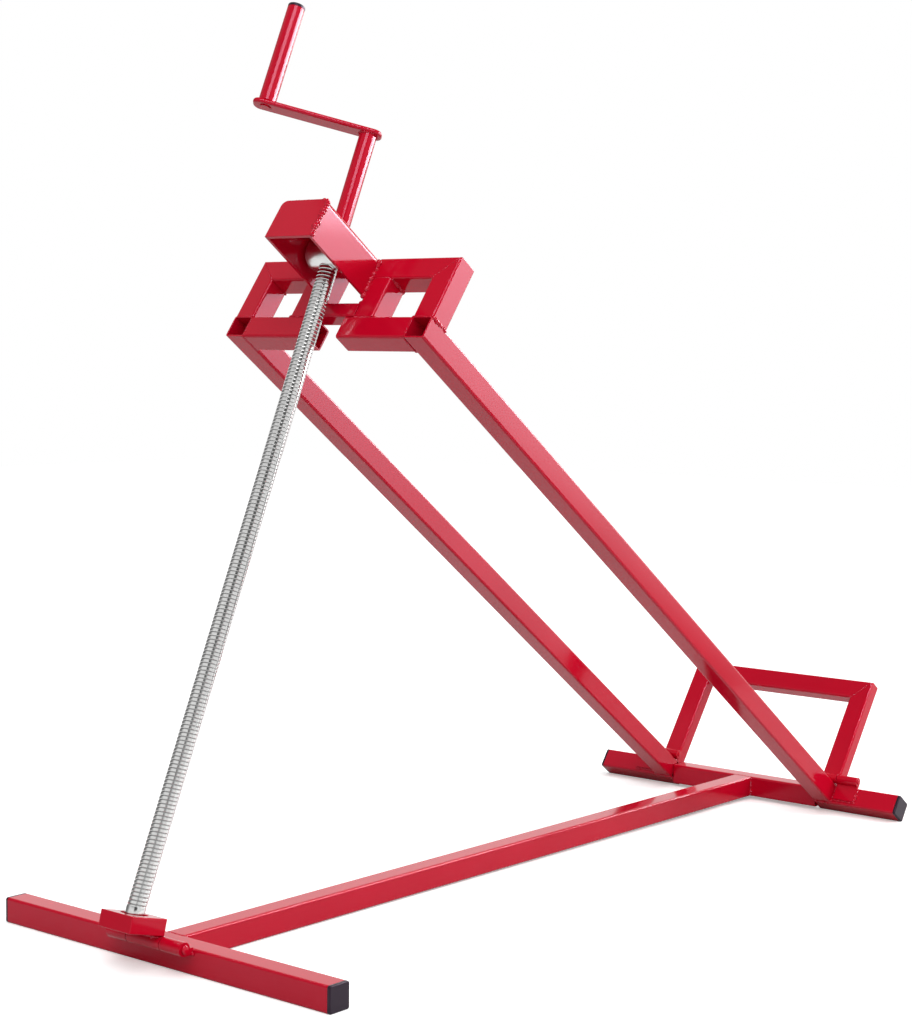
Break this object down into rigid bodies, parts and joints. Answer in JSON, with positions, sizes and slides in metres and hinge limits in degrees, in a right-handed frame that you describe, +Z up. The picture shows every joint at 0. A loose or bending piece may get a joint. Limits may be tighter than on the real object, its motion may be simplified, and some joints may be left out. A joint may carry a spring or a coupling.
{
  "type": "lawn mower lift jack",
  "caption": "Crank-and-screw lift for garden tractors: a tubular base and a tilting arm frame joined by a long spindle, with a folding stop frame at the rear pivot.",
  "frame": {"origin": "centre of the front foot's underside, where it meets the floor", "axes": "+Y runs back from the front foot to the rear pivot; +Z is up; +X runs along the front foot, to the right of a user who stands in front of the crank and faces the rear"},
  "size_m": [0.527, 1.4011, 1.095],
  "materials": {
    "frame_paint": "gloss red powder coat",
    "cap_plastic": "black moulded plastic",
    "zinc_steel": "bright zinc plate"
  },
  "bodies": {
    "base": {"front_foot_tube": "frame_paint", "right_front_foot_cap": "cap_plastic", "left_front_foot_cap": "cap_plastic", "centre_tube": "frame_paint", "rear_cross_tube": "frame_paint", "rear_axle": "zinc_steel", "right_foot_hinge_strap": "frame_paint", "left_foot_hinge_strap": "frame_paint", "foot_hinge_pin": "frame_paint"},
    "swivel_block": {"swivel_block": "frame_paint", "block_knuckle": "frame_paint", "thrust_washer": "zinc_steel"},
    "spindle": {"spindle": "zinc_steel", "spindle_collar": "zinc_steel", "collar_pin": "zinc_steel", "crank_shaft": "frame_paint", "crank_shaft_pin": "frame_paint", "crank_arm": "frame_paint", "crank_handle_pin": "frame_paint"},
    "grip": {"grip_sleeve": "frame_paint", "grip_plug": "cap_plastic"},
    "nut": {"barrel_nut": "zinc_steel"},
    "lift_frame": {"right_lift_arm": "frame_paint", "left_lift_arm": "frame_paint", "right_pivot_stub": "frame_paint", "left_pivot_stub": "frame_paint", "right_pivot_stub_cap": "cap_plastic", "left_pivot_stub_cap": "cap_plastic", "right_head_outer_post": "frame_paint", "left_head_outer_post": "frame_paint", "right_head_inner_post": "frame_paint", "left_head_inner_post": "frame_paint", "right_head_top_tube": "frame_paint", "left_head_top_tube": "frame_paint", "right_head_bottom_tube": "frame_paint", "left_head_bottom_tube": "frame_paint", "right_stop_hinge_strap": "frame_paint", "left_stop_hinge_strap": "frame_paint", "right_stop_hinge_pin": "frame_paint", "left_stop_hinge_pin": "frame_paint", "head_brace": "frame_paint", "nut_housing": "frame_paint", "housing_front_plate": "frame_paint"},
    "stop_frame": {"right_stop_knuckle": "frame_paint", "left_stop_knuckle": "frame_paint", "right_stop_leg": "frame_paint", "left_stop_leg": "frame_paint", "stop_top_bar": "frame_paint"}
  },
  "joints": [
    {"name": "crank_turn", "type": "hinge", "parent": "swivel_block", "child": "spindle", "pos_m": [0, -0.04664, 0.06432], "axis": [0, -0.387, -0.9221], "range_deg": [-58860, 0]},
    {"name": "lift_swing", "type": "hinge", "parent": "base", "child": "lift_frame", "pos_m": [0, 1.20893, 0.01968], "axis": [-1, 0, 0], "range_deg": [-35, 0]},
    {"name": "block_tilt", "type": "hinge", "parent": "base", "child": "swivel_block", "pos_m": [0, -0.02812, 0.03189], "axis": [-1, 0, 0], "range_deg": [-13, 0]},
    {"name": "nut_travel", "type": "slide", "parent": "swivel_block", "child": "nut", "axis": [0, 0.387, 0.9221], "range_m": [-0.73575, 0]},
    {"name": "stop_fold", "type": "hinge", "parent": "lift_frame", "child": "stop_frame", "pos_m": [0, 1.20415, 0.04999], "axis": [1, 0, 0], "range_deg": [0, 94]},
    {"name": "grip_spin", "type": "hinge", "parent": "spindle", "child": "grip", "pos_m": [-0.09643, 0.24442, 0.97147], "axis": [0, 0.387, 0.9221], "continuous": true}
  ],
  "couplings": [
    {"joint": "lift_swing", "follows": "crank_turn", "ratio": 0.00059127},
    {"joint": "block_tilt", "follows": "crank_turn", "ratio": 0.00022086},
    {"joint": "nut_travel", "follows": "crank_turn", "m_per_rad": 0.0007162}
  ]
}
